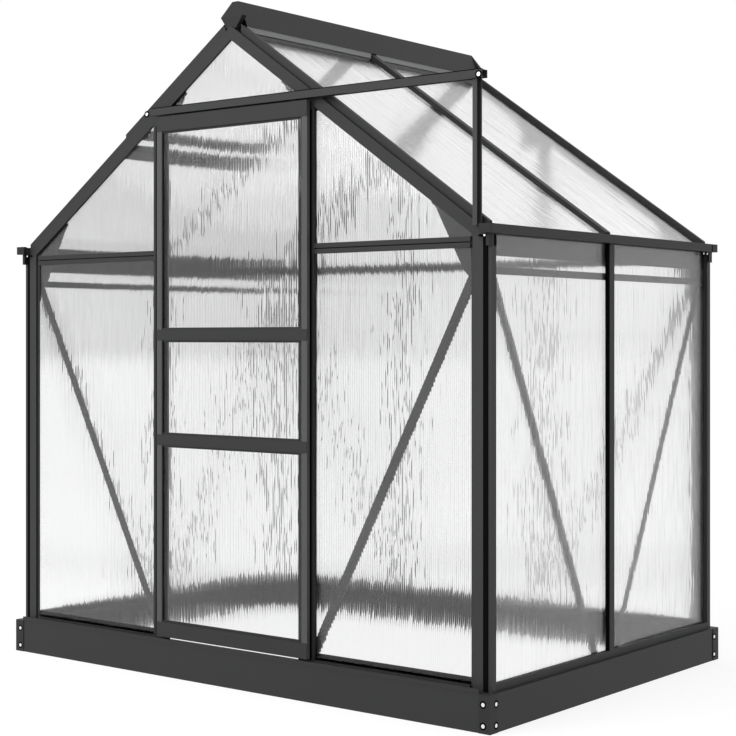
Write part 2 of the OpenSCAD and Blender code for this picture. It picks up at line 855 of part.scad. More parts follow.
module door_mid_rails() {
  color("#3b3d3f") for (z = mid_rail_z) {
    rail_body(door_mid_bar(mid_rail_h, door_t + cover_t), z, true);
    rail_cover(z + door_lip, z + mid_rail_h - door_lip);
  }
}

module door_bottom_rail() {
  color("#3b3d3f") {
    rail_body(door_bar(rail_h, door_t + cover_t), door_z0, true);
    rail_cover(door_z0, door_z0 + rail_h - door_lip);
  }
}

module door_sheets() {
  e = door_lip - sheet_play;
  z = [door_z0 + rail_h - e, mid_rail_z[0] + e, mid_rail_z[0] + mid_rail_h - e,
    mid_rail_z[1] + e, mid_rail_z[1] + mid_rail_h - e, door_z1 - top_rail_h + e];
  color("#e6eaec") for (i = [0 : 2 : 4])
    translate([door_l + stile_face + sheet_play, door_back - bar_t - sheet_t, z[i]])
      cube([door_w - 2 * stile_face - 2 * sheet_play, sheet_t, z[i + 1] - z[i]]);
}

// Two hangers: a roller on the track's lip, its axle and a strap down to the top rail
module door_rollers() {
  y0 = -(fy + track_d) + bar_t + 1;
  z0 = track_z + bar_t + roller_gap + roller_r;
  strap_y = -(fy + 13);
  color("#55585a") for (x = [door_l + 60, door_r - 60]) {
    translate([x, y0, z0]) rotate([-90, 0, 0]) cylinder(r = roller_r, h = runner_w - 1);
    translate([x, y0, z0]) rotate([-90, 0, 0]) cylinder(r = 2, h = strap_y - y0 + 1);
    translate([x - 12, strap_y, door_z1]) cube([24, 3, z0 + 5 - door_z1]);
  }
}

base_front_rail();
base_back_rail();
base_side_rails();
base_corner_plates();
front_sill();
back_sill();
side_sills();
corner_posts();
side_posts();
door_posts();
back_posts();
front_ties();
back_ties();
door_header();
gutter_beam_right();
gutter_beam_left();
gutter_ends();
side_rails();
gable_rafters_right();
gable_rafters_left();
middle_rafters();
ridge_beam();
ridge_cap();
ridge_ends();
gussets();
gable_braces();
side_braces();
door_track();
track_prop();
gable_sheets_front();
gable_sheets_back();
side_sheets();
roof_sheets_right();
roof_sheets_left();
vent_purlin();
vent_frame();
vent_sheet();
door_stiles();
door_top_rail();
door_mid_rails();
door_bottom_rail();
door_sheets();
door_rollers();
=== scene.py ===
"""Looks for the walk-in greenhouse: finishes, seals, closures, fasteners and studio."""

import logging
import math
from dataclasses import dataclass
from enum import Enum

import bmesh
import bpy
from mathutils import Matrix, Vector


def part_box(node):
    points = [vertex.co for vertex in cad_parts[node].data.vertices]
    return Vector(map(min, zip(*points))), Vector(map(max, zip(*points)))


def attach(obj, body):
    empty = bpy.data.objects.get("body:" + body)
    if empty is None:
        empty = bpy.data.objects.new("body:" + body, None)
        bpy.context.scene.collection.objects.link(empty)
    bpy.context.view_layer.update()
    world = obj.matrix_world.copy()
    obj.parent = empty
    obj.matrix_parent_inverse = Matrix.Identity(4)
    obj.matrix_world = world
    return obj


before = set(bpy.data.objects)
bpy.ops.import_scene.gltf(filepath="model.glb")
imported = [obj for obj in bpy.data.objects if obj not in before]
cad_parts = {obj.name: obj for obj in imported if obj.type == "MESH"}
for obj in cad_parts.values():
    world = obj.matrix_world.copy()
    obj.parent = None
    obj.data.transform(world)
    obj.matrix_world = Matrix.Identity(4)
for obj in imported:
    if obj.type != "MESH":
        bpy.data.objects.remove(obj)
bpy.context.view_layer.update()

LOG = logging.getLogger("greenhouse")

# Scales of the noise in the solid finishes, and how far the fine one moves their roughness.
FINE_NOISE_SCALE = 900.0
BROAD_NOISE_SCALE = 7.0
GLOSS_SPREAD = 0.12
# Steps in the noise field from flute to flute and from leaning to sagging, and the part of a
# flute's half width that its rib shades.
FLUTE_STEP = 3.717
SAG_OFFSET = 31.7
RIB_REACH = (0.38, 0.5)
# Radius of the long edges of strips, in metres.
STRIP_EDGE = 0.001


class Body(Enum):
    """Bodies that pieces ride on."""

    HOUSE = "greenhouse"
    DOOR = "sliding_door"


class Axis(Enum):
    """Direction across the flutes of a sheet, as a column of the object's space."""

    X = 0
    Y = 1


@dataclass(frozen=True)
class Finish:
    """A surface finish.

    Args:
        name: name of the material.
        slot: material slot of the record that the finish belongs to; not used.
        colour: base colour, linear.
        roughness: mean roughness.
        metallic: metallic factor.
        specular: level of the clear reflection.
    """

    name: str
    slot: str
    colour: tuple[float, float, float]
    roughness: float
    metallic: float = 0.0
    specular: float = 0.3


@dataclass(frozen=True)
class PowderCoat(Finish):
    """Textured powder coat on extruded or folded metal.

    Args:
        grain: height of the orange-peel texture in metres.
        speckle: how far the texture moves the colour.
    """

    grain: float = 0.00006
    speckle: float = 0.1


@dataclass(frozen=True)
class TwinWall(Finish):
    """Fluted translucent sheet.

    Args:
        across: axis across the flutes.
        pitch: distance between the flutes in metres.
        lens: how far one flute leans at its edges, as a slope.
        lean: how far whole flutes lean at random, as a slope.
        sag: how far the flutes dip at random along their length, as a slope.
        run: distance along a flute over which it changes, in metres.
        rib: brightness of the ribs between the flutes.
        ior: refractive index.
    """

    across: Axis = Axis.X
    pitch: float = 0.0064
    lens: float = 0.28
    lean: float = 0.21
    sag: float = 0.012
    run: float = 0.12
    rib: float = 0.85
    ior: float = 1.5


@dataclass(frozen=True)
class Smooth(Finish):
    """Rubber, plastic or bare metal with a fine uneven gloss.

    Args:
        grain: height of the surface noise in metres.
        speckle: how far the noise moves the colour.
    """

    grain: float = 0.00002
    speckle: float = 0.04


class Net:
    """Short ways to add nodes to one tree.

    Args:
        tree: the tree that gets the nodes.
    """

    def __init__(self, tree: bpy.types.NodeTree) -> None:
        """Keeps the tree."""
        self.tree = tree

    def _feed(self, socket: bpy.types.NodeSocket, value: object) -> None:
        """Links a socket to another one, or gives it a number.

        Args:
            socket: the input.
            value: the output that feeds it, or the number.
        """
        if isinstance(value, bpy.types.NodeSocket):
            self.tree.links.new(value, socket)
        else:
            socket.default_value = value

    def math(self, operation: str, *values: object) -> bpy.types.NodeSocket:
        """Returns the result of a sum on numbers.

        Args:
            operation: what the node does.
            values: sockets or numbers, in order.

        Returns:
            The output socket.
        """
        node = self.tree.nodes.new("ShaderNodeMath")
        node.operation = operation
        for socket, value in zip(node.inputs, values):
            self._feed(socket, value)
        return node.outputs[0]

    def vector(self, operation: str, *values: object) -> bpy.types.NodeSocket:
        """Returns the result of a sum on vectors.

        Args:
            operation: what the node does.
            values: sockets, in order.

        Returns:
            The output socket.
        """
        node = self.tree.nodes.new("ShaderNodeVectorMath")
        node.operation = operation
        for socket, value in zip(node.inputs, values):
            self._feed(socket, value)
        return node.outputs[0]

    def split(self, vector: bpy.types.NodeSocket) -> list[bpy.types.NodeSocket]:
        """Returns the three parts of a vector.

        Args:
            vector: socket with the vector.

        Returns:
            The sockets of x, y and z.
        """
        node = self.tree.nodes.new("ShaderNodeSeparateXYZ")
        self.tree.links.new(vector, node.inputs[0])
        return list(node.outputs)

    def join(self, *parts: object) -> bpy.types.NodeSocket:
        """Returns a vector made of three parts.

        Args:
            parts: sockets or numbers for x, y and z.

        Returns:
            The output socket.
        """
        node = self.tree.nodes.new("ShaderNodeCombineXYZ")
        for socket, value in zip(node.inputs, parts):
            self._feed(socket, value)
        return node.outputs[0]

    def texture(self, place: bpy.types.NodeSocket, scale: float, detail: float) -> bpy.types.NodeSocket:
        """Returns noise at a place.

        Args:
            place: socket with the place.
            scale: how fine the noise is.
            detail: how many finer layers it has.

        Returns:
            The output socket.
        """
        node = self.tree.nodes.new("ShaderNodeTexNoise")
        node.inputs["Scale"].default_value = scale
        node.inputs["Detail"].default_value = detail
        self.tree.links.new(place, node.inputs["Vector"])
        return node.outputs["Fac"]

    def noise(self, *parts: object) -> bpy.types.NodeSocket:
        """Returns soft noise at a place given by three parts."""
        return self.texture(self.join(*parts), 1.0, 1.0)

    def brighten(self, colour: bpy.types.NodeSocket, value: bpy.types.NodeSocket) -> bpy.types.NodeSocket:
        """Returns a colour with its value multiplied.

        Args:
            colour: socket with the colour.
            value: socket with the factor.

        Returns:
            The output socket.
        """
        node = self.tree.nodes.new("ShaderNodeHueSaturation")
        self.tree.links.new(colour, node.inputs["Color"])
        self.tree.links.new(value, node.inputs["Value"])
        return node.outputs["Color"]

    def spread(
        self, value: object, source: tuple[float, float], target: tuple[float, float]
    ) -> bpy.types.NodeSocket:
        """Returns a value moved from one range to another, and kept within it.

        Args:
            value: socket or number.
            source: range of the value.
            target: range of the result.

        Returns:
            The output socket.
        """
        node = self.tree.nodes.new("ShaderNodeMapRange")
        self._feed(node.inputs["Value"], value)
        for name, number in zip(("From Min", "From Max", "To Min", "To Max"), (*source, *target)):
            node.inputs[name].default_value = number
        return node.outputs["Result"]


    def choose(self, where: object, one: object, other: object) -> bpy.types.NodeSocket:
        """Returns one value where a mask is 1, and the other where it is 0.

        Args:
            where: the mask.
            one: value where the mask is 1.
            other: value where the mask is 0.

        Returns:
            The output socket.
        """
        step = self.math("MULTIPLY", self.math("SUBTRACT", one, other), where)
        return self.math("ADD", step, other)


class MaterialLibrary:
    """Builds each finish once and hands out its material."""

    def __init__(self) -> None:
        """Starts with no material and no group made."""
        self._made: dict[str, bpy.types.Material] = {}
        self._groups: dict[str, bpy.types.NodeTree] = {}

    def get(self, finish: Finish) -> bpy.types.Material:
        """Returns the material of a finish.

        Args:
            finish: the finish to look up or build.

        Returns:
            The material.
        """
        if finish.name not in self._made:
            self._made[finish.name] = self._build(finish)
            LOG.info("material %s", finish.name)
        return self._made[finish.name]

    def _build(self, finish: Finish) -> bpy.types.Material:
        """Builds a material, with what is the same all over set on the shader itself.

        Args:
            finish: the finish to build.

        Returns:
            The material.
        """
        material = bpy.data.materials.new(finish.name)
        material.use_nodes = True
        tree = material.node_tree
        tree.nodes.clear()
        output = tree.nodes.new("ShaderNodeOutputMaterial")
        shader = tree.nodes.new("ShaderNodeBsdfPrincipled")
        tree.links.new(shader.outputs["BSDF"], output.inputs["Surface"])
        shader.inputs["Metallic"].default_value = finish.metallic
        shader.inputs["Specular IOR Level"].default_value = finish.specular
        if isinstance(finish, TwinWall):
            self._sheet(tree, shader, finish)
        else:
            self._grain(tree, shader, finish)
        return material

    def _grain(self, tree: bpy.types.NodeTree, shader: bpy.types.Node, finish: PowderCoat | Smooth) -> None:
        """Adds the speckled, slightly uneven surface that all solid finishes share.

        Args:
            tree: the material's nodes.
            shader: its surface shader.
            finish: the finish that gives the numbers.
        """
        group = tree.nodes.new("ShaderNodeGroup")
        group.node_tree = self._surface_group()
        group.inputs["Colour"].default_value = (*finish.colour, 1.0)
        group.inputs["Roughness"].default_value = finish.roughness
        group.inputs["Speckle"].default_value = finish.speckle
        tree.links.new(group.outputs["Colour"], shader.inputs["Base Color"])
        tree.links.new(group.outputs["Roughness"], shader.inputs["Roughness"])
        bump = tree.nodes.new("ShaderNodeBump")
        bump.inputs["Distance"].default_value = finish.grain
        tree.links.new(group.outputs["Height"], bump.inputs["Height"])
        tree.links.new(bump.outputs["Normal"], shader.inputs["Normal"])

    def _surface_group(self) -> bpy.types.NodeTree:
        """Returns the node group for speckle and uneven gloss, in the object's own coordinates."""
        if "grain" in self._groups:
            return self._groups["grain"]
        group = self._new_group("grain", ("Roughness", "Speckle"))
        for name in ("Roughness", "Height"):
            group.interface.new_socket(name, in_out="OUTPUT", socket_type="NodeSocketFloat")
        net = Net(group)
        entry, leave = (group.nodes.new(f"NodeGroup{end}") for end in ("Input", "Output"))
        place = group.nodes.new("ShaderNodeTexCoord").outputs["Object"]
        fine = net.texture(place, FINE_NOISE_SCALE, 2.0)
        broad = net.texture(place, BROAD_NOISE_SCALE, 4.0)
        shift = net.math("MULTIPLY", net.spread(broad, (0.0, 1.0), (-1.0, 1.0)), entry.outputs["Speckle"])
        colour = net.brighten(entry.outputs["Colour"], net.math("ADD", shift, 1.0))
        rough = net.math("MULTIPLY_ADD", fine, GLOSS_SPREAD, entry.outputs["Roughness"])
        for name, socket in (("Colour", colour), ("Roughness", rough), ("Height", fine)):
            group.links.new(socket, leave.inputs[name])
        return group

    def _new_group(self, key: str, numbers: tuple[str, ...]) -> bpy.types.NodeTree:
        """Returns an empty node group that takes a colour and numbers, and gives a colour.

        Args:
            key: name of the group.
            numbers: names of its number inputs.

        Returns:
            The group, which is kept for the next call.
        """
        group = bpy.data.node_groups.new(key, "ShaderNodeTree")
        self._groups[key] = group
        face = group.interface
        face.new_socket("Colour", in_out="INPUT", socket_type="NodeSocketColor")
        for name in numbers:
            face.new_socket(name, in_out="INPUT", socket_type="NodeSocketFloat")
        face.new_socket("Colour", in_out="OUTPUT", socket_type="NodeSocketColor")
        return group

    def _sheet(self, tree: bpy.types.NodeTree, shader: bpy.types.Node, finish: TwinWall) -> None:
        """Adds flutes that shift what lies behind them sideways, each by its own amount.

        Args:
            tree: the material's nodes.
            shader: its surface shader.
            finish: the sheet's finish.
        """
        shader.inputs["Transmission Weight"].default_value = 1.0
        shader.inputs["IOR"].default_value = finish.ior
        shader.inputs["Roughness"].default_value = finish.roughness
        group = tree.nodes.new("ShaderNodeGroup")
        group.node_tree = self._flute_group(finish)
        group.inputs["Colour"].default_value = (*finish.colour, 1.0)
        for name in ("lens", "lean", "sag", "rib"):
            group.inputs[name.capitalize()].default_value = getattr(finish, name)
        tree.links.new(group.outputs["Colour"], shader.inputs["Base Color"])
        geometry = tree.nodes.new("ShaderNodeNewGeometry")
        choice = tree.nodes.new("ShaderNodeMix")
        choice.data_type = "VECTOR"
        tree.links.new(geometry.outputs["Backfacing"], choice.inputs["Factor"])
        vectors = [socket for socket in choice.inputs if socket.type == "VECTOR"]
        tree.links.new(group.outputs["Normal"], vectors[-2])
        tree.links.new(geometry.outputs["Normal"], vectors[-1])
        mixed = next(socket for socket in choice.outputs if socket.type == "VECTOR")
        tree.links.new(mixed, shader.inputs["Normal"])

    def _flute_group(self, finish: TwinWall) -> bpy.types.NodeTree:
        """Returns the node group for flutes across one axis.

        Args:
            finish: a sheet's finish, which gives the axis, the pitch and the run.

        Returns:
            The group.
        """
        key = f"flutes_{finish.across.name.lower()}"
        if key in self._groups:
            return self._groups[key]
        group = self._new_group(key, ("Lens", "Lean", "Sag", "Rib"))
        group.interface.new_socket("Normal", in_out="OUTPUT", socket_type="NodeSocketVector")
        net = Net(group)
        entry, leave = (group.nodes.new(f"NodeGroup{end}") for end in ("Input", "Output"))
        place = net.split(group.nodes.new("ShaderNodeTexCoord").outputs["Object"])
        flute = net.math("MULTIPLY", place[finish.across.value], 1.0 / finish.pitch)
        number = net.math("FLOOR", flute)
        within = net.math("FRACT", flute)
        along = net.math("MULTIPLY", place[2], 1.0 / finish.run)
        apart = net.math("MULTIPLY", number, FLUTE_STEP)
        lean = net.noise(apart, along, 0.0)
        sag = net.noise(apart, net.math("MULTIPLY", along, 0.5), SAG_OFFSET)
        middle = net.math("SUBTRACT", net.math("MULTIPLY", within, 2.0), 1.0)
        curve = net.math("MULTIPLY", middle, net.math("MULTIPLY", middle, middle))
        sideways = net.math(
            "ADD",
            net.math("MULTIPLY", curve, entry.outputs["Lens"]),
            net.math("MULTIPLY", net.spread(lean, (0.0, 1.0), (-1.0, 1.0)), entry.outputs["Lean"]),
        )
        upward = net.math("MULTIPLY", net.spread(sag, (0.0, 1.0), (-1.0, 1.0)), entry.outputs["Sag"])
        slopes: list[object] = [0.0, 0.0, upward]
        slopes[finish.across.value] = sideways
        facing_out = group.nodes.new("ShaderNodeNewGeometry").outputs["Normal"]
        leaning = net.vector("ADD", facing_out, net.join(*slopes))
        normal = net.vector("NORMALIZE", leaning)
        edge = net.math("ABSOLUTE", net.math("SUBTRACT", within, 0.5))
        near_rib = net.spread(edge, RIB_REACH, (0.0, 1.0))
        loss = net.math("SUBTRACT", 1.0, entry.outputs["Rib"])
        rib = net.math("SUBTRACT", 1.0, net.math("MULTIPLY", near_rib, loss))
        group.links.new(net.brighten(entry.outputs["Colour"], rib), leave.inputs["Colour"])
        group.links.new(normal, leave.inputs["Normal"])
        return group


CHARCOAL = PowderCoat("charcoal_powder_coat", "frame_bars", (0.0295, 0.030, 0.031), 0.5)
SATIN = PowderCoat("satin_stile_coat", "frame_bars", (0.097, 0.098, 0.100), 0.42)
MIDTONE = PowderCoat("prop_powder_coat", "frame_bars", (0.056, 0.057, 0.058), 0.46)
POSTS = PowderCoat("post_powder_coat", "frame_bars", (0.038, 0.0385, 0.0395), 0.48)
STEEL = PowderCoat("base_powder_coat", "base_steel", (0.031, 0.0315, 0.032), 0.5)
PLATE = PowderCoat("corner_plate_coat", "base_steel", (0.022, 0.0225, 0.023), 0.5)
MOULDED = Smooth("moulded_end_plastic", "end_caps", (0.013, 0.0132, 0.0136), 0.5)
# Near-black rubber, painted shade: the strips, washer rings and gutter blocks made of it stand in for the
# deep shade in notches, slots, recesses and under the gutters' ends.
SHADE_RUBBER = Smooth("shade_black_rubber", "end_caps", (0.0025, 0.0025, 0.0025), 0.8, specular=0.06)
HANGER = Smooth("roller_plastic", "roller_plastic", (0.012, 0.012, 0.012), 0.5)
# Mid-grey foam, painted shade: its grey stands in for the soft shade that fades from the ridge cap's edge
# into the roof sheet.
SHADE_FOAM = Smooth("shade_grey_foam", "twin_wall_sheet", (0.38, 0.383, 0.386), 0.8, specular=0.2)
ZINC = Smooth("zinc_plated_steel", "base_steel", (0.82, 0.83, 0.84), 0.3, metallic=1.0)
SHEET_X = TwinWall("twin_wall_gable", "twin_wall_sheet", (0.96, 0.962, 0.963), 0.05, across=Axis.X)
SHEET_Y = TwinWall(
    "twin_wall_side", "twin_wall_sheet", (0.985, 0.986, 0.987), 0.05, across=Axis.Y, lens=0.24,
    lean=0.15, sag=0.01,
)
SHEET_ROOF = TwinWall(
    "twin_wall_roof", "twin_wall_sheet", (0.995, 0.995, 0.995), 0.05, across=Axis.Y, lens=0.05,
    lean=0.045, sag=0.003,
)

NODE_FINISH: dict[str, Finish] = {
    "base_front_rail": STEEL,
    "base_back_rail": STEEL,
    "base_side_rails": STEEL,
    "base_corner_plates": PLATE,
    "gutter_ends": MOULDED,
    "ridge_ends": MOULDED,
    "door_stiles": SATIN,
    "track_prop": MIDTONE,
    "corner_posts": POSTS,
    "door_track": POSTS,
    "door_rollers": HANGER,
    "gable_sheets_front": SHEET_X,
    "gable_sheets_back": SHEET_X,
    "door_sheets": SHEET_X,
    "side_sheets": SHEET_Y,
    "roof_sheets_right": SHEET_ROOF,
    "roof_sheets_left": SHEET_ROOF,
    "vent_sheet": SHEET_ROOF,
}


@dataclass(frozen=True)
class Layout:
    """Main planes of the frame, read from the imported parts, in metres."""

    half_w: float
    half_d: float
    base_h: float
    side: float
    gable: float
    eave_z: float
    track: tuple[Vector, Vector]

    @classmethod
    def read(cls) -> "Layout":
        """Returns the layout measured on the parts."""
        base_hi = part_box("base_corner_plates")[1]
        post_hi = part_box("corner_posts")[1]
        return cls(
            half_w=base_hi[0],
            half_d=base_hi[1],
            base_h=base_hi[2],
            side=post_hi[0],
            gable=post_hi[1],
            eave_z=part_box("side_posts")[1][2],
            track=tuple(Vector(v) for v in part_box("door_track")),
        )


class Workshop:
    """Turns operator-made meshes into finished pieces that ride a body."""

    def __init__(self, library: MaterialLibrary) -> None:
        """Keeps the library that the pieces' finishes come from."""
        self.library = library

    def piece(self, name: str, mesh: bmesh.types.BMesh, finish: Finish, body: Body) -> bpy.types.Object:
        """Finishes a mesh and puts it on its body.

        Args:
            name: name of the piece.
            mesh: the mesh in the object's frame, freed here.
            finish: the finish of the piece.
            body: the body it rides on.

        Returns:
            The new object.
        """
        bmesh.ops.recalc_face_normals(mesh, faces=mesh.faces)
        data = bpy.data.meshes.new(name)
        mesh.to_mesh(data)
        mesh.free()
        data.materials.append(self.library.get(finish))
        item = bpy.data.objects.new(name, data)
        bpy.context.scene.collection.objects.link(item)
        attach(item, body.value)
        LOG.info("%s: %d faces", name, len(data.polygons))
        return item


def add_strip(
    mesh: bmesh.types.BMesh, low: Vector, high: Vector, edge: float, place: Matrix | None = None
) -> None:
    """Adds a strip with its long edges rounded.

    Args:
        mesh: mesh that gets the strip.
        low: lowest corner.
        high: highest corner.
        edge: radius of the long edges.
        place: transform applied last.
    """
    size = Vector(high) - Vector(low)
    middle = (Vector(high) + Vector(low)) / 2
    made = bmesh.ops.create_cube(
        mesh, size=1.0, matrix=Matrix.Translation(middle) @ Matrix.Diagonal((*size, 1.0))
    )
    verts = set(made["verts"])
    long_axis = max(range(3), key=lambda i: size[i])
    edges = [
        e
        for e in mesh.edges
        if e.verts[0] in verts
        and abs((e.verts[1].co - e.verts[0].co)[long_axis]) > 0.9 * size[long_axis]
    ]
    done = bmesh.ops.bevel(
        mesh, geom=edges, offset=edge, offset_type="OFFSET", affect="EDGES", segments=2,
        profile=0.5, material=-1,
    )
    if place is not None:
        island = set(done["verts"])
        grow = list(island)
        while grow:
            for link in grow.pop().link_edges:
                for v in link.verts:
                    if v not in island:
                        island.add(v)
                        grow.append(v)
        bmesh.ops.transform(mesh, matrix=place, verts=list(island))


def add_disc(
    mesh: bmesh.types.BMesh, place: Matrix, radius: float, height: float, edge: float, sides: int
) -> None:
    """Adds a disc on the local z = 0 plane with its rim rounded.

    Args:
        mesh: mesh that gets the disc.
        place: transform of the disc.
        radius: radius of the disc.
        height: height of the disc.
        edge: radius of the rim.
        sides: number of sides.
    """
    made = bmesh.ops.create_cone(
        mesh, cap_ends=True, segments=sides, radius1=radius, radius2=radius, depth=height,
        matrix=place @ Matrix.Translation((0, 0, height / 2)),
    )
    top = place @ Vector((0, 0, height))
    normal = (place.to_3x3() @ Vector((0, 0, 1))).normalized()
    rim = [
        e
        for e in {e for v in made["verts"] for e in v.link_edges}
        if all(abs((v.co - top).dot(normal)) < 1e-6 for v in e.verts)
    ]
    bmesh.ops.bevel(
        mesh, geom=rim, offset=edge, offset_type="OFFSET", affect="EDGES", segments=2,
        profile=0.5, material=-1,
    )


def facing(point: Vector, normal: Vector) -> Matrix:
    """Returns a transform whose local z looks along the normal at the point."""
    return Matrix.Translation(point) @ Vector(normal).to_track_quat("Z", "Y").to_matrix().to_4x4()


@dataclass
class BoltSet:
    """Pan-head bolts, each on a black washer ring that paints the shadow in the recess round its head.

    Args:
        name: name of the set.
        body: body they are screwed into.
        places: point and direction of each head.
        head: radius of the heads.
        proud: height of the heads over the bar.
        ring: radius of the black washer rings of painted shadow, as a share of the heads'.
    """

    name: str
    body: Body
    places: list[tuple[Vector, Vector]]
    head: float = 0.0056
    proud: float = 0.0005
    ring: float = 1.9

    def build(self, shop: Workshop) -> list[bpy.types.Object]:
        """Builds the heads and their black washer rings of painted shadow.

        Args:
            shop: the workshop that finishes them.

        Returns:
            The heads and the washer rings.
        """
        heads, shadow_washers = bmesh.new(), bmesh.new()
        for point, normal in self.places:
            place = facing(point, normal)
            add_disc(shadow_washers, place, self.head * self.ring, self.proud * 0.4, self.proud * 0.2, 16)
            add_disc(heads, place, self.head, self.proud, self.proud * 0.5, 12)
        return [
            shop.piece(f"{self.name}_heads", heads, ZINC, self.body),
            shop.piece(f"{self.name}_washers", shadow_washers, SHADE_RUBBER, self.body),
        ]


@dataclass
class ShadeSeals:
    """Rubber strips along the bars, black as painted shade: they fill the notches, door post slots and
    recesses beside the middle posts, spouts and door track where shade falls.

    Args:
        layout: main planes.
        notch: where the corner post's notch lies, in from the side.
        slot: where the door post's slot lies, in from its outer edge.
        depth: how deep the strips lie behind the gable bars.
        wedge: reach of the wedges beside the middle posts, in from the side.
        wedge_depth: how far the wedges' two sides lie off the middle posts.
        feet: how far over the base the strips of the notches, wedges and slots start.
        top_gap: how far under the eaves they end.
        pad: low and high corner of the pads beside the spouts, out from the corner posts' side, in
            from the gable and down from the eaves.
        track_line: how far the strip over the door track stays back from its left end, its front and
            its right end, then its depth and its height.
        track_tip: corner of the small block at the track's left end, from that end's top front edge.
        track_tip_size: size of that block.
    """

    layout: Layout
    notch: tuple[float, float] = (0.0122, 0.0258)
    slot: tuple[float, float] = (0.0092, 0.0188)
    depth: tuple[float, float] = (0.0012, 0.0118)
    wedge: tuple[float, float] = (0.0012, 0.0118)
    wedge_depth: tuple[float, float] = (0.0002, 0.0034)
    feet: tuple[float, float, float] = (0.001, 0.022, 0.014)
    top_gap: float = 0.0006
    pad: tuple[tuple[float, float, float], tuple[float, float, float]] = (
        (0.0003, -0.023, -0.033),
        (0.0024, -0.014, -0.003),
    )
    track_line: tuple[float, float, float, float, float] = (0.006, 0.002, 0.004, 0.008, 0.003)
    track_tip: tuple[float, float, float] = (-0.003, 0.004, -0.004)
    track_tip_size: tuple[float, float, float] = (0.012, 0.020, 0.0065)

    def build(self, shop: Workshop) -> bpy.types.Object:
        """Builds all straight seals of the fixed frame, black strips of painted shade in their recesses.

        Args:
            shop: the workshop that finishes them.

        Returns:
            The seals.
        """
        lay = self.layout
        mesh = bmesh.new()
        notch_foot, wedge_foot, slot_foot = (lay.base_h + level for level in self.feet)
        high = lay.eave_z - self.top_gap
        jamb, _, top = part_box("door_posts")[1]
        front, back = (lay.gable - level for level in self.depth)
        near, far = (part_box("side_posts")[1][1] + off for off in self.wedge_depth)
        for sx in (-1, 1):
            for sy in (-1, 1):
                a = (lay.side - self.notch[1], back, notch_foot)
                b = (lay.side - self.notch[0], front, high)
                mirrored_strip(mesh, sx, sy, a, b)
                a = (lay.side - self.wedge[1], near, wedge_foot)
                b = (lay.side - self.wedge[0], far, high)
                mirrored_strip(mesh, sx, sy, a, b)
                corner = Vector((lay.side, lay.gable, lay.eave_z))
                mirrored_strip(mesh, sx, sy, *(tuple(corner + Vector(end)) for end in self.pad))
            a = (jamb - self.slot[1], back, slot_foot)
            b = (jamb - self.slot[0], front, top)
            mirrored_strip(mesh, sx, -1, a, b)
        self._track_line(mesh)
        return shop.piece("frame_shade_seals", mesh, SHADE_RUBBER, Body.HOUSE)

    def _track_line(self, mesh: bmesh.types.BMesh) -> None:
        """Adds the black strip over the door track, painted shadow in the gap above it, and the black block
        at its end, painted shade at that corner.

        Args:
            mesh: mesh that gets them.
        """
        low, high = self.layout.track
        left, front, right, depth, height = self.track_line
        start = Vector((low[0] + left, low[1] + front, high[2]))
        end = Vector((high[0] - right, low[1] + front + depth, high[2] + height))
        add_strip(mesh, start, end, 0.4 * STRIP_EDGE)
        tip = Vector((low[0], low[1], high[2])) + Vector(self.track_tip)
        add_strip(mesh, tip, tip + Vector(self.track_tip_size), 0.8 * STRIP_EDGE)


def mirrored_strip(mesh: bmesh.types.BMesh, sx: int, sy: int, a: tuple, b: tuple) -> None:
    """Adds a strip given by two corners in the quarter where x and y are positive.

    Args:
        mesh: mesh that gets the strip.
        sx: 1 or -1, the side it goes to.
        sy: 1 or -1, the gable it goes to.
        a: one corner.
        b: the other corner.
    """
    xs, ys = sorted((sx * a[0], sx * b[0])), sorted((sy * a[1], sy * b[1]))
    add_strip(mesh, Vector((xs[0], ys[0], a[2])), Vector((xs[1], ys[1], b[2])), STRIP_EDGE)


